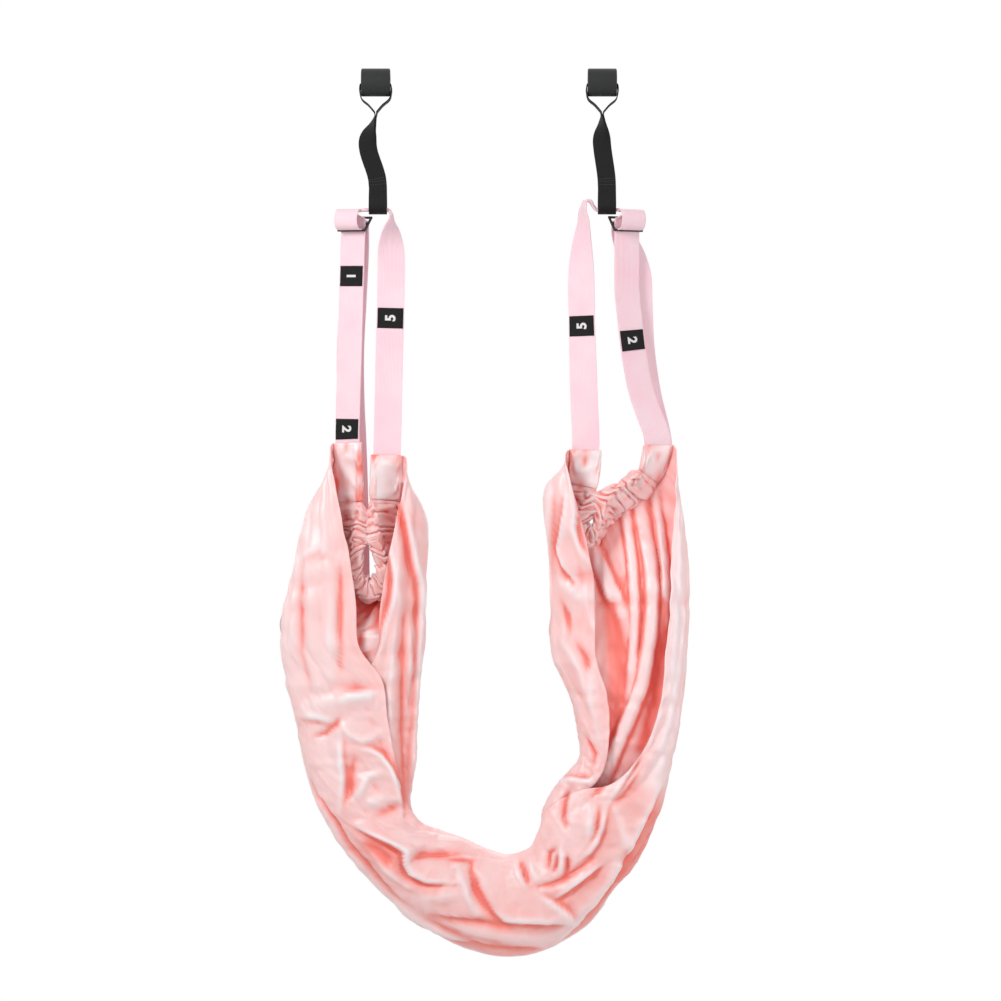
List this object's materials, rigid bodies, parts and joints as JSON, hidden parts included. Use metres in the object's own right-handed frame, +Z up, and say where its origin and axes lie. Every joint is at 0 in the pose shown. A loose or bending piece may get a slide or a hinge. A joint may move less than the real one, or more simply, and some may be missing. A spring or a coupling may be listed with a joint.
{
  "type": "aerial yoga rope",
  "caption": "Door-hung aerial yoga sling: gathered satin cloth in a U on two adjustable webbing loops with tri-glide sliders, under two foam door rollers.",
  "frame": {"origin": "midway between the two foam rollers, on the line of their axes, which lie along X", "axes": "+Z up, +X to the viewer's right, -Y towards the viewer, the object hanging as in the picture"},
  "size_m": [0.5672, 0.1006, 1.2342],
  "materials": {
    "roller_foam": "matt closed-cell foam",
    "core_plastic": "matt",
    "black_webbing": "woven webbing",
    "pink_webbing": "woven webbing",
    "patch_black": "woven label",
    "slider_plastic": "satin moulded",
    "pink_satin": "glossy stretch cloth"
  },
  "bodies": {
    "door_anchors": {"left_foam_roller": "roller_foam", "right_foam_roller": "roller_foam", "left_core_tube": "core_plastic", "right_core_tube": "core_plastic"},
    "left_hanger": {"left_anchor_webbing": "black_webbing"},
    "right_hanger": {"right_anchor_webbing": "black_webbing"},
    "sling_and_straps": {"left_strap": "pink_webbing", "right_strap": "pink_webbing", "left_patch_1": "patch_black", "left_patch_2": "patch_black", "left_patch_3": "patch_black", "left_patch_4": "patch_black", "left_patch_5": "patch_black", "right_patch_2": "patch_black", "right_patch_3": "patch_black", "right_patch_4": "patch_black", "right_patch_5": "patch_black", "left_outer_sleeve": "pink_satin", "left_inner_sleeve": "pink_satin", "right_outer_sleeve": "pink_satin", "right_inner_sleeve": "pink_satin", "left_casing": "pink_satin", "right_casing": "pink_satin", "sling": "pink_satin"},
    "left_adjuster": {"left_slider": "slider_plastic", "left_strap_fold": "pink_webbing", "left_strap_tail": "pink_webbing"},
    "right_adjuster": {"right_slider": "slider_plastic", "right_strap_fold": "pink_webbing", "right_strap_tail": "pink_webbing", "right_patch_1": "patch_black"}
  },
  "joints": [
    {"name": "left_hanger_swing", "type": "hinge", "parent": "door_anchors", "child": "left_hanger", "pos_m": [-0.1565, 0, 0], "axis": [1, 0, 0], "range_deg": [-60, 60]},
    {"name": "right_hanger_swing", "type": "hinge", "parent": "door_anchors", "child": "right_hanger", "pos_m": [0.1565, 0, 0], "axis": [1, 0, 0], "range_deg": [-60, 60]},
    {"name": "sling_swing", "type": "hinge", "parent": "left_hanger", "child": "sling_and_straps", "pos_m": [-0.1535, 0, -0.1702], "axis": [1, 0, 0], "range_deg": [-45, 45]},
    {"name": "left_slider_slide", "type": "slide", "parent": "sling_and_straps", "child": "left_adjuster", "axis": [-0.0293, 0, -0.9996], "range_m": [0, 0.26]},
    {"name": "right_slider_slide", "type": "slide", "parent": "sling_and_straps", "child": "right_adjuster", "axis": [0, 0, -1], "range_m": [0, 0.08]}
  ],
  "couplings": [
    {"joint": "right_hanger_swing", "follows": "left_hanger_swing", "ratio": 1}
  ]
}
